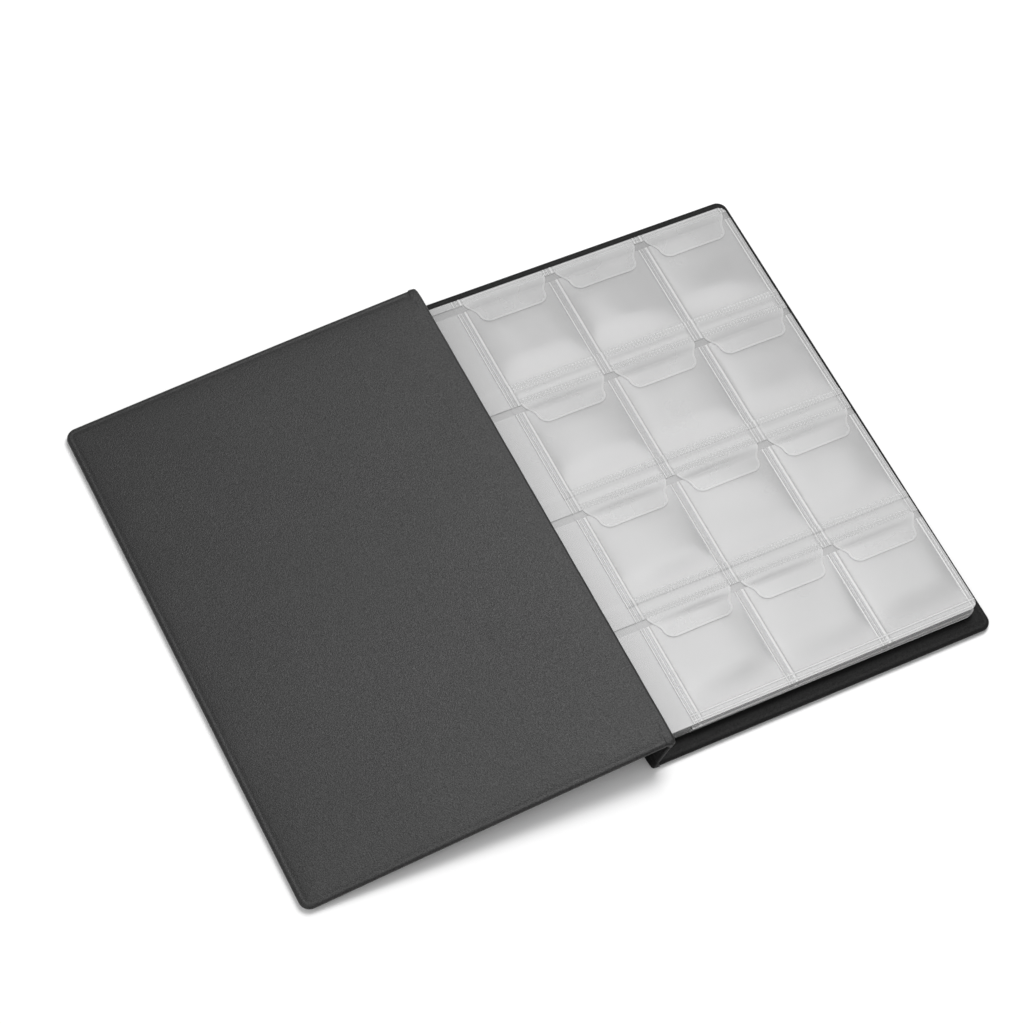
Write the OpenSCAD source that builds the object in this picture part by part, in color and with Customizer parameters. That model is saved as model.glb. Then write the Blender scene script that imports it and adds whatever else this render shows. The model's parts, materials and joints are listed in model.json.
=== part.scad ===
// Coin album lying open: two stiff covers, a leaning spine and ten leaves of clear pockets.
// +X runs to the fore edge of the back cover, +Y to the head and +Z up.
// The origin is the centre of the back cover's underside.

/* [Covers] */
// Width of a cover from its fold to its fore edge
cover_w = 135; // [130:1:150]
// Height of the covers and the spine, from tail to head
cover_h = 200; // [196:1:230]
// Thickness of a cover over its board
cover_t = 3; // [2.6:0.1:3.2]
// Thickness of the outer skin and of the lining
skin_t = 0.5; // [0.3:0.05:0.6]
// Width of the welded border round a cover board
border_w = 3; // [2:0.5:5]
// Radius of the fore-edge corners
corner_r = 4; // [3.5:0.5:8]

/* [Spine] */
// Distance between the two folds of the spine
spine_span = 14.7; // [14.7:0.1:20]
// Thickness of the spine over its board
spine_t = 2.4; // [2:0.1:2.4]
// Lean of the spine over the leaves, measured up from the table
spine_lean = 71; // [68:1:75]
// Radius of the rounded bead along each fold
fold_r = 1.2; // [1:0.05:1.3]
// Width of the flexible strip between a fold's axis and the spine board's end
fold_web_w = 2.5; // [2.5:0.1:3]
// Thickness of that flexible strip, with both sheets welded together
fold_web_t = 0.8; // [0.6:0.1:1]

/* [Leaves] */
// Thickness of one layer of clear film
film_t = 0.15; // [0.1:0.01:0.15]
// Distance from each leaf to the next
leaf_pitch = 0.55; // [0.55:0.01:0.58]
// Height of a leaf, from tail to head
leaf_h = 187.5; // [186:0.5:190]
// Distance from the back cover's fold edge to the fore edge of a leaf
leaf_reach = 132; // [130:0.5:133]
// Radius of the fore-edge corners of a leaf
leaf_corner_r = 3; // [2:0.5:6]
// Distance from the fold edge to the inner end of the binding strip
binding_x = 2.8; // [2.8:0.1:3]
// Width of the binding strip
binding_w = 2; // [1.5:0.1:4]
// Distance from the fold edge to where the leaves turn free of their margins
margin_end = 15.5; // [14:0.5:16]

/* [Pockets] */
// Centre of the first column weld, from the fold edge
first_weld_x = 18; // [17:0.5:20]
// Distance between column welds
column_pitch = 37.6; // [36:0.2:37.6]
// Width of a column weld
column_weld_w = 4; // [3:0.5:5]
// Height of the uppermost row weld of the second row, from the middle of the leaf
second_row_y = 51.7; // [50:0.1:53]
// Distance between rows of pockets
row_pitch = 47.6; // [46:0.1:47.6]
// Width of one knurled weld
weld_h = 2.4; // [2:0.1:3]
// Distance between the two knurled welds that hold a flap hem
weld_pitch = 6.4; // [5:0.1:7]
// Open gap between a flap hem and the film of its pocket
mouth_gap = 3; // [2:0.1:4]
// Length of a flap
flap_len = 10.5; // [8:0.1:10.5]
// Slant of a flap's sides, in from its top corners
flap_taper = 3; // [2:0.1:5]
// Radius of a flap's free corners
flap_r = 4; // [2:0.5:5]
// Space between the head of the leaf and the hem of the first row
head_hem_h = 2.8; // [2:0.1:4]
// Play between a flap and the films beside it
flap_play = 0.2; // [0.1:0.05:0.4]

/* [Hidden] */
$fn = 48;
leaf_count = 10;
column_count = 3;
row_count = 4;

// Colours
skin_colour = [0.10, 0.10, 0.11];
lining_colour = [0.17, 0.17, 0.18];
board_colour = [0.55, 0.50, 0.42];
film_colour = [0.86, 0.87, 0.88, 0.55];
flap_colour = [0.92, 0.93, 0.94, 0.6];

// The folds: their axes run along Y, a little off the board ends
fold_gap = 0.2;
fold_edge_x = -cover_w / 2;
fold_axis_off = fold_r + fold_gap;
fold_axis_z = 1.4;
lower_axis = [fold_edge_x - fold_axis_off, fold_axis_z];
upper_axis = lower_axis + spine_span * [cos(spine_lean), sin(spine_lean)];

// The open front cover slopes down until its far corner is just above the table
table_play = 0.1;
front_reach = fold_axis_off + cover_w;
front_hypot = norm([front_reach, fold_axis_z]);
front_slope = asin((upper_axis[1] - table_play) / front_hypot) - atan2(fold_axis_z, front_reach);

// The leaves, stacked on the back cover's lining with the first leaf on top
stack_z = cover_t + 0.15;
binding_end = fold_edge_x + binding_x + binding_w;
margin_x = fold_edge_x + margin_end;
margin_gap = 0.2;
leaf_x1 = fold_edge_x + leaf_reach;
leaf_y1 = leaf_h / 2;
leaf_t = 3 * film_t;
stack_h = leaf_pitch * (leaf_count - 1) + leaf_t;

function two(i) = i < 10 ? str("0", i) : str(i);
function leaf_node(i, piece) = str("leaf_", two(i), "_", piece);
function flap_node(row, column) = str("flap_row_", row, "_column_", column);
function leaf_z(i) = stack_z + leaf_pitch * (leaf_count - i);
function weld_x(column) = fold_edge_x + first_weld_x + column_pitch * (column - 1);

// Rows count from the head. The hem of a row ends where its flaps begin.
function upper_weld_y(row) = second_row_y - row_pitch * (row - 2);
function hem_top(row) = row == 1 ? leaf_y1 : upper_weld_y(row) + weld_h / 2;
function hem_bottom(row) = row == 1
  ? leaf_y1 - head_hem_h
  : upper_weld_y(row) - weld_pitch - weld_h / 2;
function pocket_top(row) = hem_bottom(row) - mouth_gap;
function pocket_bottom(row) = row == row_count ? -leaf_y1 : hem_top(row + 1) - weld_h;

COVER_NODES = [
  "back_outer_skin", "back_board", "back_lining",
  "lower_fold", "spine_outer_skin", "spine_board", "spine_lining", "upper_fold",
  "front_outer_skin", "front_board", "front_lining",
  "binding_strip", "leaf_margins"
];
TOP_LEAF_NODES = concat(
  [leaf_node(1, "back_film"), leaf_node(1, "pocket_strips"), leaf_node(1, "flap_hems")],
  [for (row = [1:row_count], column = [1:column_count]) flap_node(row, column)]
);
LOWER_LEAF_NODES = [
  for (i = [2:leaf_count], piece = ["back_film", "pocket_strips", "flap_strips"])
    leaf_node(i, piece)
];

// ---- Covers ----

// A cover's outline, hinged along x = 0, with rounded fore-edge corners and an even inset
module cover_outline(w, h, r, inset) {
  r_in = max(r - inset, 0.5);
  x1 = w - inset;
  y1 = h / 2 - inset;
  union() {
    translate([inset, -y1]) square([x1 - inset - r_in, 2 * y1]);
    translate([inset, r_in - y1]) square([x1 - inset, 2 * (y1 - r_in)]);
    for (side = [-1, 1]) {
      translate([x1 - r_in, side * (y1 - r_in)]) circle(r_in);
    }
  }
}

// A sheet with a raised border, which wraps one half of the board's edge
module bordered_sheet(w, h, r, border, half_t) {
  linear_extrude(skin_t) cover_outline(w, h, r, 0);
  translate([0, 0, skin_t]) linear_extrude(half_t - skin_t) difference() {
    cover_outline(w, h, r, 0);
    cover_outline(w, h, r, border);
  }
}

// The three layers of a cover, with its fold edge on x = 0 and its outside on z = 0
module cover_skin() {
  bordered_sheet(cover_w, cover_h, corner_r, border_w, cover_t / 2);
}

module cover_board() {
  translate([0, 0, skin_t]) linear_extrude(cover_t - 2 * skin_t) {
    cover_outline(cover_w, cover_h, corner_r, border_w);
  }
}

module cover_lining() {
  translate([0, 0, cover_t]) mirror([0, 0, 1]) cover_skin();
}

module on_back() {
  translate([fold_edge_x, 0, 0]) children();
}

// The front cover is the back cover's mirror image, opened to the left of the upper fold
module on_front() {
  translate([upper_axis[0], 0, upper_axis[1]]) rotate([0, -front_slope, 0]) {
    mirror([1, 0, 0]) translate([fold_axis_off, 0, -fold_axis_z]) children();
  }
}

module back_outer_skin() color(skin_colour) on_back() cover_skin();
module back_board() color(board_colour) on_back() cover_board();
module back_lining() color(lining_colour) on_back() cover_lining();
module front_outer_skin() color(skin_colour) on_front() cover_skin();
module front_board() color(board_colour) on_front() cover_board();
module front_lining() color(lining_colour) on_front() cover_lining();

// ---- Spine ----

spine_w = spine_span - 2 * fold_web_w;
spine_border = 1.5;
spine_corner_r = 0.5;

// Lays out a shape along the spine: x runs up from the lower fold, z points at the leaves
module on_spine() {
  translate([lower_axis[0], 0, lower_axis[1]]) rotate([0, -spine_lean, 0]) {
    mirror([0, 0, 1]) children();
  }
}

module spine_panel() {
  translate([fold_web_w, 0, -spine_t / 2]) children();
}

module spine_sheet() {
  bordered_sheet(spine_w, cover_h, spine_corner_r, spine_border, spine_t / 2);
}

module spine_outer_skin() color(skin_colour) on_spine() spine_panel() spine_sheet();

module spine_board() {
  color(board_colour) on_spine() spine_panel() translate([0, 0, skin_t]) {
    linear_extrude(spine_t - 2 * skin_t) {
      cover_outline(spine_w, cover_h, spine_corner_r, spine_border);
    }
  }
}

module spine_lining() {
  color(lining_colour) on_spine() spine_panel() {
    translate([0, 0, spine_t]) mirror([0, 0, 1]) spine_sheet();
  }
}

// A fold: a round bead along the axis, with a flexible web that meets the spine's end
module fold_bead() {
  translate([0, cover_h / 2, 0]) rotate([90, 0, 0]) cylinder(r = fold_r, h = cover_h);
  translate([0, -cover_h / 2, -fold_web_t / 2]) cube([fold_web_w, cover_h, fold_web_t]);
}

module lower_fold() color(skin_colour) on_spine() fold_bead();

module upper_fold() {
  color(skin_colour) on_spine() translate([spine_span, 0, 0]) mirror([1, 0, 0]) fold_bead();
}

// ---- Leaves ----

// A rectangle of film between two corners, at one of a leaf's levels
module film(x0, y0, x1, y1, z) {
  translate([x0, y0, z]) cube([x1 - x0, y1 - y0, film_t]);
}

// The outline of a leaf's free part, rounded at the fore edge
module leaf_outline() {
  r = leaf_corner_r;
  union() {
    translate([margin_x, -leaf_y1]) square([leaf_x1 - margin_x - r, leaf_h]);
    translate([margin_x, r - leaf_y1]) square([leaf_x1 - margin_x, leaf_h - 2 * r]);
    for (side = [-1, 1]) {
      translate([leaf_x1 - r, side * (leaf_y1 - r)]) circle(r);
    }
  }
}

module leaf_back_film(i) {
  color(film_colour) translate([0, 0, leaf_z(i)]) linear_extrude(film_t) leaf_outline();
}

// One strip of film for each row, open at its upper edge
module leaf_pocket_strips(i) {
  color(film_colour) for (row = [1:row_count]) {
    intersection() {
      film(margin_x, pocket_bottom(row), leaf_x1, pocket_top(row), leaf_z(i) + film_t);
      translate([0, 0, leaf_z(i)]) linear_extrude(leaf_t) leaf_outline();
    }
  }
}

// The hem that flaps hang from, welded to the back film and over the pocket strip above
module flap_hem(row, z) {
  step = row == 1 ? leaf_y1 : pocket_bottom(row - 1);
  intersection() {
    union() {
      film(margin_x, hem_bottom(row), leaf_x1, hem_top(row), z + 2 * film_t);
      film(margin_x, hem_bottom(row), leaf_x1, step, z + film_t);
    }
    translate([0, 0, z]) linear_extrude(leaf_t) leaf_outline();
  }
}

// A flap's outline: full width at its top, with slanting sides and rounded free corners
module flap_outline(row, column) {
  x0 = weld_x(column) + column_weld_w / 2 + flap_play;
  x1 = weld_x(column + 1) - column_weld_w / 2 - flap_play;
  y1 = hem_bottom(row);
  y0 = y1 - flap_len;
  shoulder = flap_len - flap_r;
  polygon([
    [x0, y1],
    [x1, y1],
    [x1 - flap_taper, y1 - shoulder],
    [x1 - flap_taper - flap_r, y0],
    [x0 + flap_taper + flap_r, y0],
    [x0 + flap_taper, y1 - shoulder]
  ]);
  for (x = [x0 + flap_taper + flap_r, x1 - flap_taper - flap_r]) {
    translate([x, y0 + flap_r]) circle(flap_r);
  }
}

module flap_film(row, column, z) {
  translate([0, 0, z + 2 * film_t]) linear_extrude(film_t) flap_outline(row, column);
}

module leaf_01_flap_hems() {
  color(flap_colour) for (row = [1:row_count]) flap_hem(row, leaf_z(1));
}

module top_leaf_flap(row, column) {
  color(flap_colour) flap_film(row, column, leaf_z(1));
}

module leaf_flap_strips(i) {
  color(flap_colour) for (row = [1:row_count]) {
    union() {
      flap_hem(row, leaf_z(i));
      for (column = [1:column_count]) flap_film(row, column, leaf_z(i));
    }
  }
}

// ---- Binding ----

module binding_strip() {
  color(skin_colour) translate([fold_edge_x + binding_x, -leaf_y1, cover_t]) {
    cube([binding_w, leaf_h, stack_h + 2 * (stack_z - cover_t)]);
  }
}

module leaf_margins() {
  color(film_colour) for (i = [1:leaf_count]) {
    film(binding_end, -leaf_y1, margin_x - margin_gap, leaf_y1, leaf_z(i));
  }
}

// ---- The album ----

back_outer_skin();
back_board();
back_lining();
lower_fold();
spine_outer_skin();
spine_board();
spine_lining();
upper_fold();
front_outer_skin();
front_board();
front_lining();
binding_strip();
leaf_margins();
leaf_01_flap_hems();
for (row = [1:row_count], column = [1:column_count]) {
  top_leaf_flap(row, column);
}
for (i = [1:leaf_count]) {
  leaf_back_film(i);
  leaf_pocket_strips(i);
}
for (i = [2:leaf_count]) {
  leaf_flap_strips(i);
}
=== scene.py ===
"""The looks of the coin album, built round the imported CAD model.

Shapes are worked out in millimetres, and turned to metres when a mesh is made. Lights are placed in metres.
"""

import json
import math

import bpy
import numpy as np
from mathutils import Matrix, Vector


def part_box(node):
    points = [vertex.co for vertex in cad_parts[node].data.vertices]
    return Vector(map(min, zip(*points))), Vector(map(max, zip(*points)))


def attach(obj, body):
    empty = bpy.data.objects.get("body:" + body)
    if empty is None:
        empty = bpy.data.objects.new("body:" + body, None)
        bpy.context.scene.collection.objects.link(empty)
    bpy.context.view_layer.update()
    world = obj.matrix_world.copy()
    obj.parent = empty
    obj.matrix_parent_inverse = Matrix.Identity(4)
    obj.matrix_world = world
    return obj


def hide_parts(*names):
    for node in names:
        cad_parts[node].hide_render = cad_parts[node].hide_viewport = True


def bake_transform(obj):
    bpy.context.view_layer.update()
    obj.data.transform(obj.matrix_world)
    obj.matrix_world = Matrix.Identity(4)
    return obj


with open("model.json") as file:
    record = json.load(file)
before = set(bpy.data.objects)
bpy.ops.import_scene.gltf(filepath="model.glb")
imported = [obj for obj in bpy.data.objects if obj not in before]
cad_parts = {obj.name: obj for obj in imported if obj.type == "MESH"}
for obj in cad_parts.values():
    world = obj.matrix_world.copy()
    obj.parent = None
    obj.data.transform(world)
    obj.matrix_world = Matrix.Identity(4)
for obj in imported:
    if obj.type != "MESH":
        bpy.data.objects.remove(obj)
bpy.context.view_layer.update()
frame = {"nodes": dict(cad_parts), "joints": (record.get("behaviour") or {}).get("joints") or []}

MM = 0.001
NODES = frame["nodes"]
JOINTS = {j["name"]: j for j in frame["joints"]}


def box_mm(node):
    low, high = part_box(node)
    return low / MM, high / MM


def joint_mm(name):
    return Vector(JOINTS[name]["pos_m"]) / MM


def face_normal(node):
    """The normal of a node's largest face, turned to point up."""
    polygons = NODES[node].data.polygons
    normal = max(polygons, key=lambda p: p.area).normal.copy()
    return normal if normal.z >= 0 else -normal


# ---- Dimensions: those of the CAD model, and the visual trims to them ----

BACK_LOW, BACK_HIGH = box_mm("back_outer_skin")
COVER_W = BACK_HIGH.x - BACK_LOW.x
COVER_H = BACK_HIGH.y - BACK_LOW.y
COVER_T = box_mm("back_lining")[1].z
SKIN_T = box_mm("back_board")[0].z
FOLD_EDGE_X = BACK_LOW.x
LOWER_AXIS = joint_mm("spine_lean")
UPPER_AXIS = joint_mm("front_cover_swing")
SPINE_DIR = (UPPER_AXIS - LOWER_AXIS).normalized()
SPINE_SPAN = (UPPER_AXIS - LOWER_AXIS).length
SPINE_T = 2.4
FOLD_WEB_W = 2.5
FORE_EDGE_TRIM = 1.4
LAST_WELD_SHIFT = -0.7

LEAF_LOW, LEAF_HIGH = box_mm("leaf_01_back_film")
FILM_T = LEAF_HIGH.z - LEAF_LOW.z
FORE_EDGE_X = LEAF_HIGH.x - FORE_EDGE_TRIM
LEAF_COUNT = 10
ROWS = 4
COLUMNS = 3
COLUMN_WELD_W = 4.0
FLAP_PLAY = 0.2
WELD_H = 2.4
WELD_PITCH = 6.4
MOUTH_GAP = 3.0
LEAF_CORNER_R = 3.0
FLAP_R = 4.0
FLAP_TAPER = 3.0


def leaf_name(i, piece):
    return f"leaf_{i:02d}_{piece}"


def flap_name(row, column):
    return f"flap_row_{row}_column_{column}"


FLAP_BOXES = {
    (row, column): box_mm(flap_name(row, column))
    for row in range(1, ROWS + 1)
    for column in range(1, COLUMNS + 1)
}
WELD_IN = COLUMN_WELD_W / 2 + FLAP_PLAY
WELD_X = [FLAP_BOXES[1, c][0].x - WELD_IN for c in range(1, COLUMNS + 1)]
WELD_X.append(FLAP_BOXES[1, COLUMNS][1].x + WELD_IN + LAST_WELD_SHIFT)
FLAP_LEN = FLAP_BOXES[1, 1][1].y - FLAP_BOXES[1, 1][0].y


def hem_bottom(row):
    return FLAP_BOXES[row, 1][1].y


def hem_top(row):
    return LEAF_HIGH.y if row == 1 else hem_bottom(row) + WELD_PITCH + WELD_H


def pocket_top(row):
    return hem_bottom(row) - MOUTH_GAP


def pocket_bottom(row):
    return LEAF_LOW.y if row == ROWS else hem_top(row + 1) - WELD_H


# ---- Mesh helpers ----


def smoothstep(a, b, x):
    t = np.clip((x - a) / (b - a), 0.0, 1.0)
    return t * t * (3.0 - 2.0 * t)


def bump(x, centre, width):
    return np.exp(-(((x - centre) / width) ** 2))


class Shells:
    """Closed shells gathered into one mesh. A face's kind is the index of its material."""

    def __init__(self):
        self.points = []
        self.faces = []
        self.kinds = []
        self.count = 0

    def add(self, points, faces, kinds=None):
        self.points.append(np.asarray(points, float))
        self.faces.extend([tuple(i + self.count for i in f) for f in faces])
        self.kinds.extend([0] * len(faces) if kinds is None else kinds)
        self.count += len(points)

    def mesh(self, name, sharp_angle=50.0):
        data = bpy.data.meshes.new(name)
        points = np.concatenate(self.points) * MM
        data.from_pydata(points.tolist(), [], self.faces)
        data.polygons.foreach_set("material_index", self.kinds)
        data.polygons.foreach_set("use_smooth", [True] * len(data.polygons))
        data.set_sharp_from_angle(angle=math.radians(sharp_angle))
        return data


def make_piece(name, data, materials):
    piece = bpy.data.objects.new(name, data)
    bpy.context.scene.collection.objects.link(piece)
    if not data.materials:
        for material in materials if isinstance(materials, list) else [materials]:
            data.materials.append(material)
    return piece


def sheet_shell(x, y, top, bottom):
    """A closed thin shell over a grid of points: arrays of shape (rows, columns)."""
    rows, columns = top.shape
    points = np.concatenate([
        np.stack([x.ravel(), y.ravel(), top.ravel()], 1),
        np.stack([x.ravel(), y.ravel(), bottom.ravel()], 1),
    ])
    at = np.arange(rows * columns).reshape(rows, columns)
    under = at + rows * columns
    faces = []
    a, b, c, d = at[:-1, :-1], at[:-1, 1:], at[1:, 1:], at[1:, :-1]
    faces += np.stack([a, b, c, d], -1).reshape(-1, 4).tolist()
    a, b, c, d = under[:-1, :-1], under[1:, :-1], under[1:, 1:], under[:-1, 1:]
    faces += np.stack([a, b, c, d], -1).reshape(-1, 4).tolist()
    rim = np.concatenate([at[0, :-1], at[:-1, -1], at[-1, :0:-1], at[:0:-1, 0]])
    following = np.roll(rim, -1)
    below = rows * columns
    faces += np.stack([rim, rim + below, following + below, following], -1).tolist()
    return points, faces


def sheet_kinds(top_kinds, rim_kind):
    """Kinds for sheet_shell's faces: the top's own, plain film below, and one kind for the cut edge."""
    rows, columns = top_kinds.shape
    top = top_kinds.astype(int).ravel().tolist()
    return top + [0] * (rows * columns) + [rim_kind] * (2 * (rows + columns))


def centres(grid):
    """Values at the middle of each grid cell."""
    return (grid[:-1, :-1] + grid[1:, :-1] + grid[:-1, 1:] + grid[1:, 1:]) / 4.0


def spaced(start, end, step):
    return np.linspace(start, end, max(2, int(round((end - start) / step)) + 1))


def merged_lines(*parts):
    """Grid lines from several stretches, sorted and kept apart."""
    lines = np.unique(np.round(np.concatenate(parts), 4))
    kept = [lines[0]]
    for value in lines[1:-1]:
        if value - kept[-1] > 0.05 and lines[-1] - value > 0.05:
            kept.append(value)
    kept.append(lines[-1])
    return np.array(kept)


# ---- Materials ----


def new_material(name):
    material = bpy.data.materials.new(name)
    material.use_nodes = True
    tree = material.node_tree
    return material, tree, tree.nodes["Principled BSDF"]


def link(tree, a, b):
    tree.links.new(a, b)


def noise_node(tree, scale, detail=3.0, roughness=0.55, stretch=(1, 1, 1)):
    """Noise over the object's own coordinates. Scale is in features for each metre."""
    where = tree.nodes.new("ShaderNodeTexCoord")
    mapping = tree.nodes.new("ShaderNodeMapping")
    mapping.inputs["Scale"].default_value = stretch
    noise = tree.nodes.new("ShaderNodeTexNoise")
    noise.inputs["Scale"].default_value = scale
    noise.inputs["Detail"].default_value = detail
    noise.inputs["Roughness"].default_value = roughness
    link(tree, where.outputs["Object"], mapping.inputs["Vector"])
    link(tree, mapping.outputs["Vector"], noise.inputs["Vector"])
    return noise


def ramp_node(tree, source, low, high, start=0.35, end=0.65):
    ramp = tree.nodes.new("ShaderNodeValToRGB")
    ramp.color_ramp.elements[0].position = start
    ramp.color_ramp.elements[0].color = (*low, 1)
    ramp.color_ramp.elements[1].position = end
    ramp.color_ramp.elements[1].color = (*high, 1)
    link(tree, source, ramp.inputs["Fac"])
    return ramp


def mixed_colour(tree, a, b, share):
    mix = tree.nodes.new("ShaderNodeMix")
    mix.data_type = "RGBA"
    mix.blend_type = "MULTIPLY"
    mix.inputs["Factor"].default_value = share
    link(tree, a, mix.inputs["A"])
    link(tree, b, mix.inputs["B"])
    return mix.outputs["Result"]


def range_node(tree, source, low, high):
    node = tree.nodes.new("ShaderNodeMapRange")
    node.inputs["From Min"].default_value = 0.3
    node.inputs["From Max"].default_value = 0.7
    node.inputs["To Min"].default_value = low
    node.inputs["To Max"].default_value = high
    link(tree, source, node.inputs["Value"])
    return node.outputs["Result"]


def bump_node(tree, source, strength, height_mm, before=None):
    node = tree.nodes.new("ShaderNodeBump")
    node.inputs["Strength"].default_value = strength
    node.inputs["Distance"].default_value = height_mm * MM
    link(tree, source, node.inputs["Height"])
    if before is not None:
        link(tree, before, node.inputs["Normal"])
    return node.outputs["Normal"]


def vinyl_material(name, tone, rough, gloss):
    """Matt black vinyl: a fine embossed grain, faint blotches and rubbed high spots."""
    material, tree, shader = new_material(name)
    grain = noise_node(tree, 2100, detail=4.0, roughness=0.6)
    pores = noise_node(tree, 3600, detail=2.0)
    blotches = noise_node(tree, 30, detail=3.0)
    low = [c * 0.4 for c in tone]
    high = [c * 1.75 for c in tone]
    colour = ramp_node(tree, grain.outputs["Fac"], low, high)
    shade = ramp_node(tree, blotches.outputs["Fac"], (0.86,) * 3, (1.0,) * 3)
    mixed = mixed_colour(tree, colour.outputs["Color"], shade.outputs["Color"], 1.0)
    link(tree, mixed, shader.inputs["Base Color"])
    roughness = range_node(tree, grain.outputs["Fac"], rough + 0.08, rough - 0.08)
    link(tree, roughness, shader.inputs["Roughness"])
    coarse = bump_node(tree, grain.outputs["Fac"], 0.9, 0.16)
    fine = bump_node(tree, pores.outputs["Fac"], 0.35, 0.04, before=coarse)
    link(tree, fine, shader.inputs["Normal"])
    shader.inputs["IOR"].default_value = 1.5
    shader.inputs["Specular IOR Level"].default_value = gloss
    return material


def film_material(name, tone, alpha, rough=0.2):
    """Clear, slightly milky film: cloudy patches, a faint stretch grain and a glossy surface."""
    material, tree, shader = new_material(name)
    clouds = noise_node(tree, 60, detail=3.0)
    streaks = noise_node(tree, 260, detail=3.0, stretch=(1.0, 0.18, 1.0))
    peel = noise_node(tree, 900, detail=2.0)
    low = [c * 0.955 for c in tone]
    colour = ramp_node(tree, clouds.outputs["Fac"], low, tone)
    link(tree, colour.outputs["Color"], shader.inputs["Base Color"])
    roughness = range_node(tree, clouds.outputs["Fac"], rough - 0.02, rough + 0.04)
    link(tree, roughness, shader.inputs["Roughness"])
    wide = bump_node(tree, streaks.outputs["Fac"], 0.03, 0.012)
    fine = bump_node(tree, peel.outputs["Fac"], 0.06, 0.006, before=wide)
    link(tree, fine, shader.inputs["Normal"])
    shader.inputs["IOR"].default_value = 1.53
    shader.inputs["Alpha"].default_value = alpha
    return material


def board_material():
    material, tree, shader = new_material("grey_board")
    fibres = noise_node(tree, 900, detail=5.0, stretch=(1.0, 0.3, 1.0))
    colour = ramp_node(tree, fibres.outputs["Fac"], (0.32, 0.28, 0.23), (0.5, 0.45, 0.38))
    link(tree, colour.outputs["Color"], shader.inputs["Base Color"])
    shader.inputs["Roughness"].default_value = 0.9
    link(tree, bump_node(tree, fibres.outputs["Fac"], 0.4, 0.1), shader.inputs["Normal"])
    return material


OUTER = vinyl_material("vinyl_outer", (0.007,) * 3, 0.5, 0.2)
LINING = vinyl_material("vinyl_lining", (0.0165,) * 3, 0.46, 0.36)
# The back cover's and the spine's lining: a darker copy of the lining vinyl, which is painted shade.
SHADED_LINING = vinyl_material("vinyl_lining_painted_shade", (0.007,) * 3, 0.55, 0.16)
BINDING = vinyl_material("vinyl_binding", (0.01,) * 3, 0.45, 0.2)
BOARD = board_material()
FILM_BACK = film_material("film_back", (0.44,) * 3, 0.42, rough=0.24)
FILM_POCKET = film_material("film_pocket", (0.62,) * 3, 0.36, rough=0.22)
FILM_FLAP = film_material("film_flap", (0.66,) * 3, 0.34, rough=0.26)
# Brighter, more opaque film on raised weld lines, knurls and cut edges: a painted highlight.
FILM_LINE_HIGHLIGHT = film_material("film_raised_line_painted_highlight", (0.77,) * 3, 0.52, rough=0.24)
# A lighter band round each flap's free edge: a painted highlight.
FILM_RIM_HIGHLIGHT = film_material("film_flap_rim_painted_highlight", (0.72,) * 3, 0.36, rough=0.28)
FILM_PRESSED = film_material("film_pressed_weld", (0.48,) * 3, 0.34, rough=0.2)
FILM_UNDER = film_material("film_lower_leaves", (0.56,) * 3, 0.50, rough=0.3)
# A painted highlight on the lower leaves' cut edges.
FILM_EDGE_HIGHLIGHT = film_material("film_edge_painted_highlight", (0.92,) * 3, 0.95, rough=0.3)
# A painted shadow on some lower leaves' cut edges, standing in for the shade in the gaps between leaves.
FILM_GAP_SHADOW = film_material("film_edge_painted_shadow", (0.1,) * 3, 0.95, rough=0.4)

# Kind 1 puts a painted highlight on raised lines and cut edges.
PLAIN, RAISED_HIGHLIGHT, PRESSED, EDGE_HIGHLIGHT, EDGE_SHADOW = 0, 1, 2, 3, 4
# Kinds 3 and 4 are the lower leaves' cut edges: a painted highlight, and a painted shadow for the gaps
# between leaves.
BACK_KINDS = [FILM_BACK, FILM_LINE_HIGHLIGHT, FILM_PRESSED, FILM_EDGE_HIGHLIGHT, FILM_GAP_SHADOW]
POCKET_KINDS = [FILM_POCKET, FILM_LINE_HIGHLIGHT, FILM_PRESSED]
HEM_KINDS = [FILM_FLAP, FILM_LINE_HIGHLIGHT, FILM_PRESSED]
TONGUE_KINDS = [FILM_FLAP, FILM_RIM_HIGHLIGHT, FILM_PRESSED]
UNDER_KINDS = [FILM_UNDER, FILM_LINE_HIGHLIGHT, FILM_PRESSED, FILM_EDGE_HIGHLIGHT, FILM_GAP_SHADOW]
MARGIN_STRIP = 1
MARGIN_KINDS = [FILM_BACK, FILM_POCKET]


# ---- Covers and spine ----


class Panel:
    """A board panel's own frame: u runs away from its fold, v to the head and t from outside in."""

    def __init__(self, origin, u_axis, normal, width, thickness, bow):
        self.origin = np.array(origin, float)
        self.u_axis = np.array(u_axis, float)
        self.normal = np.array(normal, float)
        self.width = width
        self.thickness = thickness
        self.bow = bow

    def place(self, u, v, t):
        share = np.clip(u / self.width, 0.0, 1.0)
        t = t + self.bow * np.sin(math.pi * share)
        points = self.origin + np.outer(u, self.u_axis) + np.outer(t, self.normal)
        points[:, 1] += v
        return points


# How a cover rises from its edge: pairs of inset from the edge and height above the middle plane.
EDGE_PROFILE = (
    (0.0, 0.0), (0.05, 0.32), (0.25, 0.66), (0.6, 0.9), (1.0, 1.02), (1.4, 1.06), (1.8, 0.99), (2.2, 1.03),
    (2.8, 1.16), (3.5, 1.23), (4.5, 1.28), (6.0, 1.34), (8.0, 1.4), (12.0, 1.46), (18.0, 1.5),
)
# The same beside a fold, where the cover stays nearly at its full thickness.
HINGE_PROFILE = ((0.0, 1.36), (0.25, 1.39), (0.6, 1.42), (1.2, 1.45), (2.4, 1.48), (18.0, 1.5))


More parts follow.
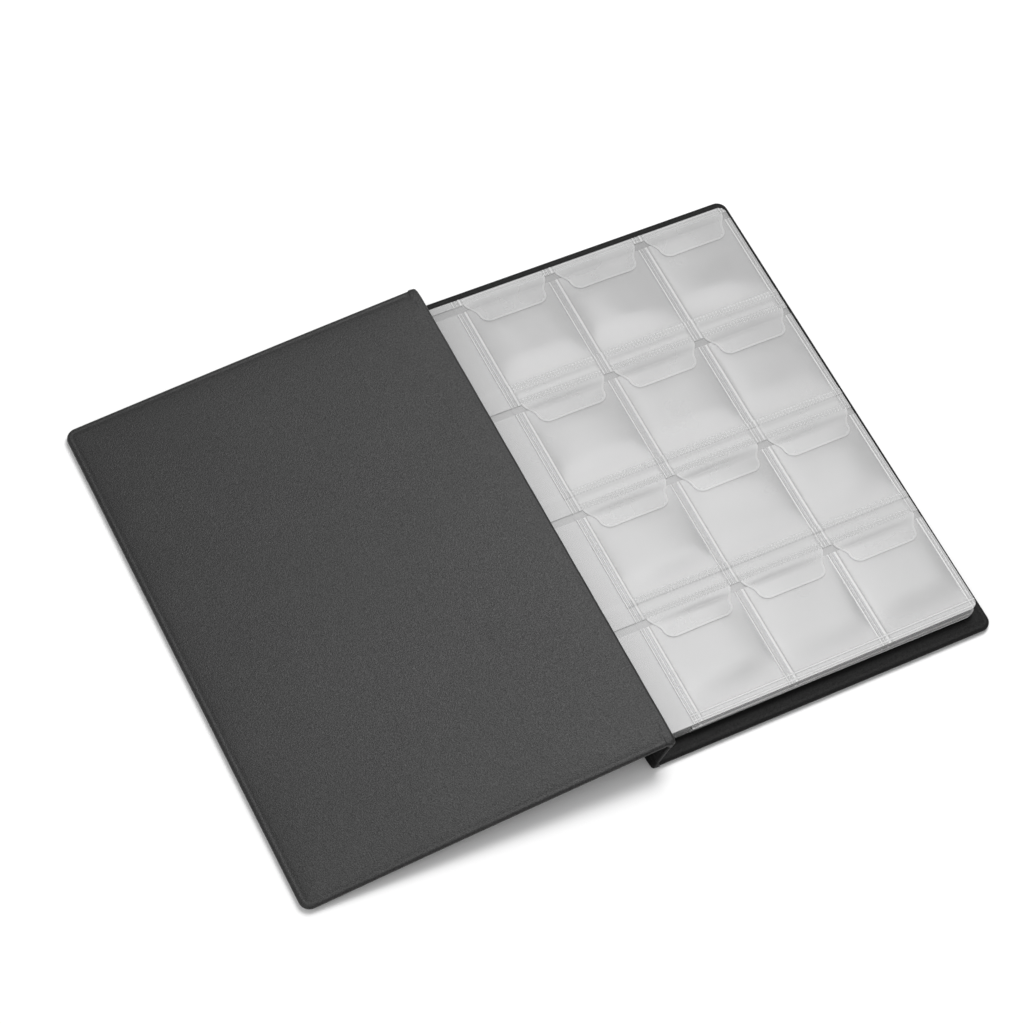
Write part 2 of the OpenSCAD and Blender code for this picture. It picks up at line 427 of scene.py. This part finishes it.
LEAST_R = 0.5
FORE_CORNER_R = 4.0
SPINE_CORNER_R = 0.6
FOLD_CORNER_R = 0.8
BOARD_PLAY = 0.02
BOARD_INSET = 0.1
BOARD_CHAMFER = 0.12
WAVE_RISE = 0.14
WAVE_LENGTH = 55.0
FLAT_INSETS = (26.0, 36.0, 48.0, 60.0)


def profile_height(profile, inset):
    return float(np.interp(inset, [d for d, _ in profile], [h for _, h in profile]))


def ring(width, height, fold_r, fore_r, inset, arc_steps=7, side_step=5.0):
    """One closed outline of a panel, moved in by an inset, always with the same number of points."""
    radii = [fold_r, fore_r, fore_r, fold_r]
    signs = [(0, -1), (1, -1), (1, 1), (0, 1)]
    corners = []
    for (far, side), r in zip(signs, radii):
        rc = max(r - inset, LEAST_R)
        u = width - inset - rc if far else inset + rc
        v = side * (height / 2 - inset - rc)
        corners.append((u, v, rc))
    starts = [math.pi, 1.5 * math.pi, 0.0, 0.5 * math.pi]
    points = []
    for k, (u, v, rc) in enumerate(corners):
        for s in range(arc_steps + 1):
            angle = starts[k] + 0.5 * math.pi * s / arc_steps
            points.append((u + rc * math.cos(angle), v + rc * math.sin(angle)))
        nu, nv, nr = corners[(k + 1) % 4]
        angle = starts[(k + 1) % 4]
        end = (nu + nr * math.cos(angle), nv + nr * math.sin(angle))
        begin = points[-1]
        length = width if k in (0, 2) else height
        steps = int(length / side_step)
        for s in range(1, steps):
            f = s / steps
            points.append((begin[0] + (end[0] - begin[0]) * f, begin[1] + (end[1] - begin[1]) * f))
    return np.array(points)


def soft_waves(u, v, seed, wavelength, count=5):
    """A smooth uneven field from a few seeded waves, between about -1 and 1."""
    random = np.random.default_rng(seed)
    total = np.zeros_like(u, dtype=float)
    for _ in range(count):
        angle = random.uniform(0, math.pi)
        length = wavelength * random.uniform(0.7, 1.6)
        phase = random.uniform(0, 2 * math.pi)
        total += np.sin((u * math.cos(angle) + v * math.sin(angle)) * 2 * math.pi / length + phase)
    return total / count


def skin_shell(panel, side, border, seed, fold_r, fore_r):
    """A skin (side -1) or a lining (side 1): pillowed outside, and flat where it meets the board."""
    half = panel.thickness / 2
    scale = half / EDGE_PROFILE[-1][1]
    depth = panel.width / 2
    insets = [d * min(1.0, border / 3.0) for d, _ in EDGE_PROFILE]
    heights = [h * scale for _, h in EDGE_PROFILE]
    for extra in FLAT_INSETS:
        if extra < depth - 4.0:
            insets.append(extra)
            heights.append(half)
    size = (panel.width, COVER_H, fold_r, fore_r)
    hinged = float(panel.width > COVER_W / 2)
    rings = [ring(*size, d) for d in insets if d < depth - 0.3]
    heights = heights[: len(rings)]
    count = len(rings[0])
    points = []
    for d, h, outline in zip(insets, heights, rings):
        u, v = outline[:, 0], outline[:, 1]
        rise = soft_waves(u, v, seed, WAVE_LENGTH) * 0.5 + 0.5
        wave = WAVE_RISE * rise * smoothstep(2.0, 9.0, np.full_like(u, d)) * hinged
        from_ends = COVER_H / 2 - np.abs(v) - d
        by_hinge = (1.0 - smoothstep(0.4, 7.0, u - d)) * smoothstep(0.0, 3.0, from_ends)
        hinge_h = scale * profile_height(HINGE_PROFILE, d)
        h_here = h + (hinge_h - h) * by_hinge * hinged + side * wave
        points.append(panel.place(u, v, half + side * h_here))
    inner_insets = (border * 0.97, border)
    inner_heights = (0.0, half - SKIN_T)
    for d, h in zip(inner_insets, inner_heights):
        outline = ring(*size, d)
        u, v = outline[:, 0], outline[:, 1]
        points.append(panel.place(u, v, np.full_like(u, half + side * h)))
    shell = np.concatenate(points)
    faces = []
    for k in range(len(rings) - 1):
        for m in range(count):
            n = (m + 1) % count
            faces.append((k * count + m, k * count + n, (k + 1) * count + n, (k + 1) * count + m))
    faces.append(tuple((len(rings) - 1) * count + m for m in range(count)))
    first_inner = len(rings) * count
    for m in range(count):
        n = (m + 1) % count
        faces.append((n, m, first_inner + m, first_inner + n))
        a = first_inner
        b = first_inner + count
        faces.append((a + n, a + m, b + m, b + n))
    faces.append(tuple(first_inner + count + m for m in reversed(range(count))))
    if side < 0:
        faces = [tuple(reversed(f)) for f in faces]
    return shell, faces


def board_shell(panel, border, fore_r):
    """The stiff board sealed between a skin and its lining, with its edges broken."""
    half = panel.thickness / 2 - SKIN_T - BOARD_PLAY
    levels = (-half, -half + BOARD_CHAMFER, half - BOARD_CHAMFER, half)
    pulls = (BOARD_CHAMFER, 0.0, 0.0, BOARD_CHAMFER)
    points = []
    for level, pull in zip(levels, pulls):
        outline = ring(panel.width, COVER_H, LEAST_R, fore_r, border + BOARD_INSET + pull)
        u, v = outline[:, 0], outline[:, 1]
        points.append(panel.place(u, v, np.full_like(u, panel.thickness / 2 + level)))
    count = len(points[0])
    faces = []
    for k in range(len(levels) - 1):
        for m in range(count):
            n = (m + 1) % count
            faces.append((k * count + m, k * count + n, (k + 1) * count + n, (k + 1) * count + m))
    faces.append(tuple(3 * count + m for m in range(count)))
    faces.append(tuple(reversed(range(count))))
    return np.concatenate(points), faces


FOLD_OFF = FOLD_EDGE_X - LOWER_AXIS.x
FOLD_AXIS_Z = LOWER_AXIS.z
BORDER_W = 3.0
SPINE_BORDER_W = 1.5
FRONT_BOW = 0.5

front_up = face_normal("front_board")
FRONT_U = Vector((-front_up.z, 0.0, front_up.x))
front_origin = UPPER_AXIS + FRONT_U * FOLD_OFF - front_up * FOLD_AXIS_Z
spine_normal = Vector((SPINE_DIR.z, 0.0, -SPINE_DIR.x))
spine_origin = LOWER_AXIS + SPINE_DIR * FOLD_WEB_W - spine_normal * (SPINE_T / 2)
spine_w = SPINE_SPAN - 2 * FOLD_WEB_W

PANELS = {
    "back": Panel((FOLD_EDGE_X, 0, 0), (1, 0, 0), (0, 0, 1), COVER_W, COVER_T, 0.0),
    "front": Panel(front_origin, FRONT_U, front_up, COVER_W, COVER_T, FRONT_BOW),
    "spine": Panel(spine_origin, SPINE_DIR, spine_normal, spine_w, SPINE_T, 0.0),
}
BODY_OF_PANEL = {"back": "back_cover", "front": "front_cover", "spine": "spine"}


def build_panel(key):
    panel = PANELS[key]
    border = SPINE_BORDER_W if key == "spine" else BORDER_W
    fore_r = SPINE_CORNER_R if key == "spine" else FORE_CORNER_R
    seeds = {"back": 3, "front": 8, "spine": 5}
    # Only the front takes the lining vinyl; the back cover and the spine take its darker copy, painted
    # shade.
    inside = LINING if key == "front" else SHADED_LINING
    for side, layer, material, slot in (
        (-1, "outer_skin", OUTER, "outer_skin"),
        (1, "lining", inside, "lining"),
    ):
        shells = Shells()
        shells.add(*skin_shell(panel, side, border, seeds[key] + side, FOLD_CORNER_R, fore_r))
        node = f"{key}_{layer}"
        piece = make_piece(f"{node}_sheet", shells.mesh(node, 60.0), material)
        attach(piece, BODY_OF_PANEL[key])
        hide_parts(node)
    shells = Shells()
    shells.add(*board_shell(panel, border, max(fore_r - border, LEAST_R)))
    node = f"{key}_board"
    piece = make_piece(f"{node}_sheet", shells.mesh(node, 40.0), BOARD)
    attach(piece, BODY_OF_PANEL[key])
    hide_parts(node)


for panel_key in PANELS:
    build_panel(panel_key)


def fold_outline(arms, bead_r, count=72):
    """Radii round a fold's axis: a bead joined to flat arms, each (angle, length, half thickness)."""
    radii = []
    for k in range(count):
        angle = 2 * math.pi * k / count
        r = bead_r
        for arm_angle, length, half in arms:
            off = angle - arm_angle
            along, across = math.cos(off), abs(math.sin(off))
            if along > 0:
                r = max(r, min(length / along, half / max(across, 1e-6)))
        radii.append(r)
    radii = np.array(radii)
    for _ in range(2):
        radii = 0.5 * radii + 0.25 * (np.roll(radii, 1) + np.roll(radii, -1))
    return radii


FOLD_TAPER = ((0.0, 0.75), (0.4, 0.4), (1.5, 0.15))
FOLD_STATIONS = 39
FOLD_BEAD_R = 1.38


def fold_strip(name, axis, arms, inside):
    """A fold's strip. The side that faces up while the album lies open takes the inside material."""
    radii = fold_outline(arms, FOLD_BEAD_R)
    count = len(radii)
    angles = 2 * math.pi * np.arange(count) / count
    half_h = COVER_H / 2
    ends = [half_h - inset for inset, _ in FOLD_TAPER]
    tapers = [pull for _, pull in FOLD_TAPER]
    middle = list(np.linspace(-half_h + 4, half_h - 4, FOLD_STATIONS))
    stations = [-y for y in ends] + middle + ends[::-1]
    pulls = tapers + [0.0] * FOLD_STATIONS + tapers[::-1]
    points = []
    for y, pull in zip(stations, pulls):
        r = radii - pull + 0.03 * np.sin(y * 0.35 + angles * 2)
        ring_points = np.stack(
            [axis.x + r * np.cos(angles), np.full(count, y), axis.z + r * np.sin(angles)], 1
        )
        points.append(ring_points)
    faces = []
    kinds = []
    for k in range(len(stations) - 1):
        for m in range(count):
            n = (m + 1) % count
            faces.append((k * count + n, k * count + m, (k + 1) * count + m, (k + 1) * count + n))
            kinds.append(1 if m < count // 2 else 0)
    faces.append(tuple(range(count)))
    faces.append(tuple((len(stations) - 1) * count + m for m in reversed(range(count))))
    shells = Shells()
    shells.add(np.concatenate(points), faces, kinds + [0, 0])
    return make_piece(name, shells.mesh(name, 70.0), [OUTER, inside])


def angle_of(direction):
    return math.atan2(direction.z, direction.x)


# How far a fold's arms reach into the panels, and how far they stay below the panels' faces.
COVER_EMBED = 1.3
SPINE_EMBED = 0.9
COVER_ARM_INSET = 0.13
SPINE_ARM_INSET = 0.25
cover_arm = (FOLD_OFF + COVER_EMBED, COVER_T / 2 - COVER_ARM_INSET)
spine_arm = (FOLD_WEB_W + SPINE_EMBED, SPINE_T / 2 - SPINE_ARM_INSET)

# The lower fold's up-facing side takes the darker lining copy, painted shade.
lower_fold = fold_strip(
    "lower_fold_strip",
    LOWER_AXIS,
    [(0.0, *cover_arm), (angle_of(SPINE_DIR), *spine_arm)],
    SHADED_LINING,
)
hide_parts("lower_fold")
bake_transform(lower_fold)

upper_fold = fold_strip(
    "upper_fold_strip",
    UPPER_AXIS,
    [(angle_of(-SPINE_DIR), *spine_arm), (angle_of(FRONT_U), *cover_arm)],
    LINING,
)
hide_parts("upper_fold")
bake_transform(upper_fold)


# ---- Leaves ----


PRESS_FULL = 1.7
PRESS_END = 3.2
POCKET_INSET = 2.2
KNURL_PITCH = 1.3
FILM_GAP = 0.01
HEM_GAP = 0.02

# Each raised line's offset from the weld's centre, its height and its width.
WELD_LINES = ((-1.6, 0.9, 0.26), (-0.35, 0.6, 0.2), (1.25, 1.0, 0.5))


class LeafShape:
    """How one leaf's films lie. Heights are above the leaf's own base."""

    def __init__(self, billow, curl, knurl, step, x_start, seed):
        self.billow = billow
        self.curl = curl
        self.knurl = knurl
        self.step = step
        self.x_start = x_start
        self.seed = seed

    def warp(self, x, y):
        """The whole leaf's own lift: its fore edge and the tail corner stand up a little."""
        span = LEAF_HIGH.x - LEAF_LOW.x
        reach = np.clip((x - LEAF_LOW.x) / span, 0.0, 1.0)
        tail = smoothstep(30.0, LEAF_LOW.y, y)
        ripple = 0.1 + 0.06 * np.sin(y * 0.085 + 0.7)
        return self.curl * (reach**2 * (ripple + 0.75 * tail))

    def pressed(self, x):
        """1 inside a column weld, 0 in the pockets."""
        press = np.zeros_like(x)
        for centre in WELD_X:
            press = np.maximum(press, 1.0 - smoothstep(PRESS_FULL, PRESS_END, np.abs(x - centre)))
        return press

    def ridges(self, x):
        """The three raised lines of a column weld."""
        total = np.zeros_like(x)
        for centre in WELD_X:
            for offset, height, width in WELD_LINES:
                total += height * bump(x, centre + offset, width)
        return total

    def tail_lines(self, y):
        near = y - LEAF_LOW.y
        return bump(near, 1.1, 0.3) + bump(near, 3.2, 0.3)

    def pocket_rise(self, x, y, row):
        """How far the pocket film stands off the back film."""
        low, high = pocket_bottom(row), pocket_top(row)
        sealed = low + (3.6 if row == ROWS else 1.0)
        along = smoothstep(sealed, sealed + 13.0, y)
        mouth = 1.0 - 0.45 * smoothstep(high - 12.0, high, y)
        across = np.zeros_like(x)
        cell = np.zeros_like(x)
        for c in range(COLUMNS):
            a, b = WELD_X[c] + POCKET_INSET, WELD_X[c + 1] - POCKET_INSET
            s = np.clip((x - a) / (b - a), 0.0, 1.0)
            inside = ((x > a) & (x < b)).astype(float)
            across += inside * (4 * s * (1 - s)) ** 0.7
            pocket_seed = self.seed + 17 * row + 5 * c
            waves = soft_waves(x, y, pocket_seed, 42.0, 3)
            cell += inside * (1.0 + 0.5 * waves)
        return self.billow * along * mouth * across * cell

    def pocket_levels(self, x, y, row):
        rise = self.pocket_rise(x, y, row)
        lines = 0.14 * self.ridges(x) + (0.12 * self.tail_lines(y) if row == ROWS else 0.0)
        base = self.warp(x, y) + FILM_T + FILM_GAP
        return base + FILM_T + rise + self.knurl * lines, base + rise

    def knurling(self, x, y, centre):
        """Two staggered rows of short slanted dashes."""
        total = np.zeros_like(x)
        for row_offset, slant in ((0.6, 0.55), (-0.6, -0.55)):
            teeth = np.cos(2 * math.pi * (x + slant * (y - centre)) / KNURL_PITCH)
            teeth = np.clip(teeth, 0.0, 1.0) ** 0.6
            total = np.maximum(total, teeth * bump(y - centre, row_offset, 0.45))
        return total

    def line_kinds(self, x, bright):
        """Raised lines, which take a painted highlight, over pressed bands, for cell centres at x."""
        pressed = self.pressed(x) > 0.5
        return np.where(bright, RAISED_HIGHLIGHT, np.where(pressed, PRESSED, PLAIN))

    def hem_levels(self, x, y, row):
        bottom, top = hem_bottom(row), hem_top(row)
        step = top if row == 1 else top - WELD_H
        over = smoothstep(step - 0.6, step + 0.2, y) if row > 1 else np.zeros_like(y)
        base = self.warp(x, y) + FILM_T + HEM_GAP + over * (FILM_T + HEM_GAP)
        if row == 1:
            knurls = 0.8 * (bump(y, top - 0.7, 0.22) + bump(y, top - 1.9, 0.22))
        else:
            knurls = self.knurling(x, y, top - WELD_H / 2) + self.knurling(x, y, bottom + WELD_H / 2)
        shown = 1.0 - 0.6 * self.pressed(x)
        knurls = knurls * smoothstep(WELD_X[0] - 1.0, WELD_X[0] + 1.0, x) * shown
        flat = FILM_T + HEM_GAP
        middle = (top + bottom) / 2
        puff = 0.22 * bump(y, middle, 1.7) * (1.0 - self.pressed(x)) if row > 1 else 0.0
        crossing = 0.16 * self.ridges(x)
        rise = self.knurl * (0.26 * knurls + puff * self.billow + crossing)
        return base + flat + rise, base, knurls


def corner_squeeze(x, y):
    """Pulls the grid in at the fore-edge corners, so that they come out round."""
    r = LEAF_CORNER_R
    edge = FORE_EDGE_X
    near = np.clip(np.abs(y) - (LEAF_HIGH.y - r), 0.0, r * 0.985)
    reach = edge - r + np.sqrt(r * r - near * near)
    over = np.clip(x - (edge - r), 0.0, None)
    return np.where(over > 0, edge - r + over * (reach - (edge - r)) / r, x)


def x_lines(shape, step):
    parts = [spaced(shape.x_start, FORE_EDGE_X, step)]
    for centre in WELD_X:
        low, high = centre - 2.3, min(centre + 2.3, FORE_EDGE_X)
        parts.append(spaced(max(low, shape.x_start), high, min(step, shape.step * 0.22)))
    return merged_lines(*parts)


def leaf_grid(xs, ys):
    x, y = np.meshgrid(xs, ys)
    return corner_squeeze(x, y), y


def add_sheet(shells, x, y, top, bottom, z, kinds=None, rim_kind=PLAIN):
    points, faces = sheet_shell(x, y, top + z, bottom + z)
    if kinds is None:
        kinds = np.zeros_like(centres(x))
    shells.add(points, faces, sheet_kinds(kinds, rim_kind))


def back_film_mesh(shape, z, name, rim_kind=RAISED_HIGHLIGHT):
    xs = merged_lines(spaced(shape.x_start, FORE_EDGE_X, 3.0), FORE_EDGE_X - np.arange(0, 3.0, 0.4))
    edge = LEAF_HIGH.y - np.arange(0, LEAF_CORNER_R, 0.3)
    ys = merged_lines(spaced(LEAF_LOW.y, LEAF_HIGH.y, 3.0), edge, -edge)
    x, y = leaf_grid(xs, ys)
    base = shape.warp(x, y)
    shells = Shells()
    add_sheet(shells, x, y, base + FILM_T, base, z, rim_kind=rim_kind)
    return shells.mesh(name)


def pocket_mesh(shape, z, name, rim_kind=RAISED_HIGHLIGHT):
    shells = Shells()
    xs = x_lines(shape, shape.step)
    for row in range(1, ROWS + 1):
        low, high = pocket_bottom(row), pocket_top(row)
        parts = [spaced(low, high, shape.step)]
        if row == ROWS:
            parts.append(spaced(low, low + 4.2, 0.25 * shape.step))
        x, y = leaf_grid(xs, merged_lines(*parts))
        top, bottom = shape.pocket_levels(x, y, row)
        xc, yc = centres(x), centres(y)
        lines = shape.ridges(xc) + (shape.tail_lines(yc) if row == ROWS else 0.0)
        add_sheet(shells, x, y, top, bottom, z, shape.line_kinds(xc, lines > 0.5), rim_kind)
    return shells.mesh(name)


def hem_shells(shape, z, shells, fine):
    for row in range(1, ROWS + 1):
        xs = spaced(shape.x_start, FORE_EDGE_X, fine)
        ys = spaced(hem_bottom(row), hem_top(row), fine)
        x, y = leaf_grid(xs, ys)
        top, bottom, knurls = shape.hem_levels(x, y, row)
        xc = centres(x)
        # Knurls and weld ridges take the painted highlight.
        bright = (centres(knurls) > 0.45) | (shape.ridges(xc) > 0.5)
        add_sheet(shells, x, y, top, bottom, z, shape.line_kinds(xc, bright), RAISED_HIGHLIGHT)


FLAP_RIM_W = 0.8


def flap_edge_distance(x_off, down, half):
    """How far a point of a flap lies inside its free outline."""
    shoulder = FLAP_LEN - FLAP_R
    half_here = half - FLAP_TAPER * smoothstep(0.0, shoulder, down)
    side = half_here - np.abs(x_off)
    end = FLAP_LEN - down
    corner_x = np.abs(x_off) - (half - FLAP_TAPER - FLAP_R)
    corner_y = down - shoulder
    round_end = FLAP_R - np.hypot(corner_x, corner_y)
    in_corner = (corner_x > 0) & (corner_y > 0)
    return np.where(in_corner, round_end, np.minimum(side, end))


def flap_shell(shape, row, column, z, tip_lift, shells):
    """One flap: full width at its hinge, slanted sides and rounded free corners."""
    low, high = FLAP_BOXES[row, column]
    middle = (low.x + high.x) / 2
    half = (high.x - low.x) / 2
    top_y = high.y
    shoulder = FLAP_LEN - FLAP_R
    downs = list(np.linspace(0.0, shoulder, 9))
    halves = [half - FLAP_TAPER * smoothstep(0.0, shoulder, np.array(d)) for d in downs]
    for s in range(1, 11):
        angle = 0.5 * math.pi * s / 10
        downs.append(shoulder + FLAP_R * math.sin(angle))
        halves.append(half - FLAP_TAPER - FLAP_R + FLAP_R * math.cos(angle))
    rim = 1.0 - np.array([FLAP_RIM_W, 0.0]) / half
    inner = np.linspace(-1.0, 1.0, 35)[1:-1]
    across = np.concatenate([-rim[::-1], inner, rim])
    x = middle + np.outer(halves, across)
    y = np.repeat(top_y - np.array(downs)[:, None], len(across), 1)
    under = FILM_T + FILM_T + 0.05 + shape.warp(x, y)
    pocket = shape.pocket_levels(x, y, row)[0] + 0.07
    over = smoothstep(MOUTH_GAP - 1.5, MOUTH_GAP + 1.5, top_y - y)
    base = np.maximum(under, under * (1 - over) + pocket * over)
    share = (top_y - y) / FLAP_LEN
    crown = 0.15 * shape.billow * (1.0 - np.abs(across[None, :]) ** 2) * np.sin(math.pi * share)
    base = base + crown + tip_lift * share**2
    inside = flap_edge_distance(centres(x) - middle, top_y - centres(y), half)
    # A band FLAP_RIM_W wide along the free edge takes the painted highlight.
    kinds = np.where(inside < FLAP_RIM_W, RAISED_HIGHLIGHT, PLAIN)
    add_sheet(shells, x, y, base + FILM_T, base, z, kinds, RAISED_HIGHLIGHT)


MARGIN_LAP = 0.5
top_shape = LeafShape(billow=0.75, curl=1.2, knurl=1.0, step=1.0, x_start=LEAF_LOW.x + MARGIN_LAP, seed=11)
low_shape = LeafShape(billow=0.04, curl=0.0, knurl=0.3, step=2.4, x_start=LEAF_LOW.x + MARGIN_LAP, seed=40)

TOP_Z = LEAF_LOW.z
TIP_LIFT_MOST = 0.15
TOP_HEM_STEP = 0.22
LOWER_HEM_STEP = 0.6


def top_leaf():
    back = back_film_mesh(top_shape, TOP_Z, "top_back")
    pockets = pocket_mesh(top_shape, TOP_Z, "top_pockets")
    for piece_name, data, kinds, node in (
        ("top_leaf_back_film", back, BACK_KINDS, "back_film"),
        ("top_leaf_pocket_film", pockets, POCKET_KINDS, "pocket_strips"),
    ):
        piece = make_piece(piece_name, data, kinds)
        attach(piece, "leaf_01")
        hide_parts(leaf_name(1, node))
    shells = Shells()
    hem_shells(top_shape, TOP_Z, shells, TOP_HEM_STEP)
    piece = make_piece("top_leaf_hems", shells.mesh("top_hems"), HEM_KINDS)
    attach(piece, "leaf_01")
    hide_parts(leaf_name(1, "flap_hems"))
    random = np.random.default_rng(5)
    for row in range(1, ROWS + 1):
        for column in range(1, COLUMNS + 1):
            shells = Shells()
            flap_shell(top_shape, row, column, TOP_Z, random.uniform(0.0, TIP_LIFT_MOST), shells)
            name = flap_name(row, column)
            piece = make_piece(f"{name}_tongue", shells.mesh(name), TONGUE_KINDS)
            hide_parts(name)
            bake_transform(piece)


# These leaves' cut edges take the painted shadow of the gaps between leaves; the others take a painted
# highlight.
SHADOW_EDGED = (2, 5, 8, 10)
SHIFT_X = (-1.3, -0.2)
SHIFT_Y = (-0.8, 0.8)
SKEW_DEG = (-0.2, 0.2)


def lower_leaves():
    """Leaves 2 to 10 share their meshes, and each lies a little out of line with the next."""
    # Two sets of meshes: cut edges with a painted highlight, and cut edges with a painted shadow.
    highlight_edged_back = back_film_mesh(low_shape, 0.0, "lower_back", EDGE_HIGHLIGHT)
    shadow_edged_back = back_film_mesh(low_shape, 0.0, "lower_back_edge_shadow", EDGE_SHADOW)
    highlight_edged_pockets = pocket_mesh(low_shape, 0.0, "lower_pockets", EDGE_HIGHLIGHT)
    shadow_edged_pockets = pocket_mesh(low_shape, 0.0, "lower_pockets_edge_shadow", EDGE_SHADOW)
    shells = Shells()
    hem_shells(low_shape, 0.0, shells, LOWER_HEM_STEP)
    for row in range(1, ROWS + 1):
        for column in range(1, COLUMNS + 1):
            flap_shell(low_shape, row, column, 0.0, 0.0, shells)
    flaps = shells.mesh("lower_flaps")
    random = np.random.default_rng(21)
    for i in range(2, LEAF_COUNT + 1):
        z = box_mm(leaf_name(i, "back_film"))[0].z
        shift = Vector((random.uniform(*SHIFT_X), random.uniform(*SHIFT_Y), z)) * MM
        skew = math.radians(random.uniform(*SKEW_DEG))
        back = shadow_edged_back if i in SHADOW_EDGED else highlight_edged_back
        pockets = shadow_edged_pockets if i in SHADOW_EDGED else highlight_edged_pockets
        for piece_name, data, kinds, node, slot in (
            (f"leaf_{i:02d}_back_sheet", back, BACK_KINDS, "back_film", "clear_film"),
            (f"leaf_{i:02d}_pocket_sheet", pockets, UNDER_KINDS, "pocket_strips", "clear_film"),
            (f"leaf_{i:02d}_flap_sheet", flaps, UNDER_KINDS, "flap_strips", "flap_film"),
        ):
            piece = make_piece(piece_name, data, kinds)
            piece.location = shift
            piece.rotation_euler.z = skew
            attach(piece, f"leaf_{i:02d}")
            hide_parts(leaf_name(i, node))


def leaf_margins():
    """The plain film between the binding and each leaf."""
    margin_low, _ = box_mm("leaf_margins")
    x0 = margin_low.x - 0.4
    x1 = LEAF_LOW.x + 0.48
    xs = spaced(x0, x1, 0.6)
    for i in range(1, LEAF_COUNT + 1):
        z = box_mm(leaf_name(i, "back_film"))[0].z
        shells = Shells()
        layers = [(LEAF_LOW.y, LEAF_HIGH.y, 0.0, PLAIN)]
        for row in range(1, ROWS + 1):
            layers.append((pocket_bottom(row), pocket_top(row), FILM_T + FILM_GAP, MARGIN_STRIP))
            layers.append((hem_bottom(row), hem_top(row), FILM_T * 2 + HEM_GAP, MARGIN_STRIP))
        for y0, y1, level, kind in layers:
            x, y = np.meshgrid(xs, spaced(y0, y1, 6.0))
            bottom = np.full_like(x, level)
            kinds = np.full_like(centres(x), kind)
            add_sheet(shells, x, y, bottom + FILM_T, bottom, z, kinds, kind)
        name = f"leaf_{i:02d}_margin"
        piece = make_piece(name, shells.mesh(name), MARGIN_KINDS)
        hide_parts("leaf_margins")
        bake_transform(piece)


def binding_strip():
    """The welded strip that holds the leaves: a rounded bar with pressed weld marks along its top."""
    low, high = box_mm("binding_strip")
    xs = np.linspace(low.x, high.x, 13)
    ys = spaced(low.y, high.y, 0.8)
    x, y = np.meshgrid(xs, ys)
    across = np.abs((x - (low.x + high.x) / 2) / ((high.x - low.x) / 2))
    marks = np.clip(np.cos(2 * math.pi * y / 4.0), 0.0, 1.0) * bump(across, 0.0, 0.55)
    top = high.z - 0.35 * across**4 - 0.3 * marks
    bottom = np.full_like(top, low.z)
    shells = Shells()
    shells.add(*sheet_shell(x, y, top, bottom))
    piece = make_piece("binding_bar", shells.mesh("binding_bar"), BINDING)
    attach(piece, "back_cover")
    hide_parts("binding_strip")


top_leaf()
lower_leaves()
leaf_margins()
binding_strip()


# ---- Studio ----


FLOOR_HALF = 3.0
FLOOR_DROP = 0.0002
KEY_LIGHT = ("key", (0.29, 0.3, 0.95), (0, 0, 0), (0.45, 0.45), 6.1)
GLOW_LIGHT = ("glow", (0.05, 0.2, 1.2), (-0.1, -0.1, 0), (0.4, 0.4), 3.2)
FILL_LIGHT = ("fill", (-0.9, -0.5, 1.2), (0, 0, 0), (1.2, 1.2), 7.0)


def floor():
    data = bpy.data.meshes.new("floor")
    half = FLOOR_HALF
    corners = [(-half, -half, 0), (half, -half, 0), (half, half, 0), (-half, half, 0)]
    data.from_pydata(corners, [], [(0, 1, 2, 3)])
    material, _, shader = new_material("pale_floor")
    shader.inputs["Base Color"].default_value = (0.93, 0.93, 0.93, 1)
    shader.inputs["Roughness"].default_value = 0.9
    data.materials.append(material)
    plane = bpy.data.objects.new("studio_floor", data)
    plane.location.z = -FLOOR_DROP
    bpy.context.scene.collection.objects.link(plane)


def softbox(name, place, target, size, power):
    """A rectangular area light. Places and sizes are in metres, and the power is in watts."""
    light = bpy.data.lights.new(name, "AREA")
    light.shape = "RECTANGLE"
    light.size, light.size_y = size
    light.energy = power
    lamp = bpy.data.objects.new(name, light)
    lamp.location = place
    direction = Vector(target) - Vector(place)
    lamp.rotation_mode = "QUATERNION"
    lamp.rotation_quaternion = direction.to_track_quat("-Z", "Y")
    bpy.context.scene.collection.objects.link(lamp)


def studio():
    floor()
    world = bpy.data.worlds.new("studio")
    world.use_nodes = True
    background = world.node_tree.nodes["Background"]
    background.inputs["Color"].default_value = (1, 1, 1, 1)
    background.inputs["Strength"].default_value = 0.36
    bpy.context.scene.world = world
    for light in (KEY_LIGHT, GLOW_LIGHT, FILL_LIGHT):
        softbox(*light)


CAMERA_AZIMUTH = -37.15
CAMERA_ELEVATION = 58.35
CAMERA_ROLL = 12.0
CAMERA_DISTANCE = 1116.03
CAMERA_AIM = Vector((FOLD_EDGE_X - 1.35, 8.07, 3.46))
SENSOR = 36.0
LENS = 111.49


def camera():
    a, e, roll = (math.radians(v) for v in (CAMERA_AZIMUTH, CAMERA_ELEVATION, CAMERA_ROLL))
    back = Vector((math.sin(a) * math.cos(e), -math.cos(a) * math.cos(e), math.sin(e)))
    level_x = Vector((0, 0, 1)).cross(back).normalized()
    level_y = back.cross(level_x)
    right = level_x * math.cos(roll) + level_y * math.sin(roll)
    up = level_y * math.cos(roll) - level_x * math.sin(roll)
    data = bpy.data.cameras.new("camera")
    data.sensor_width = SENSOR
    data.lens = LENS
    data.clip_start, data.clip_end = 0.01, 20.0
    eye = bpy.data.objects.new("camera", data)
    matrix = eye.matrix_world.copy()
    for k, axis in enumerate((right, up, back)):
        for m in range(3):
            matrix[m][k] = axis[m]
    matrix.translation = (CAMERA_AIM + back * CAMERA_DISTANCE) * MM
    eye.matrix_world = matrix
    bpy.context.scene.collection.objects.link(eye)
    bpy.context.scene.camera = eye


studio()
camera()
bpy.context.scene.view_settings.view_transform = "Standard"
bpy.context.scene.cycles.transparent_max_bounces = 48
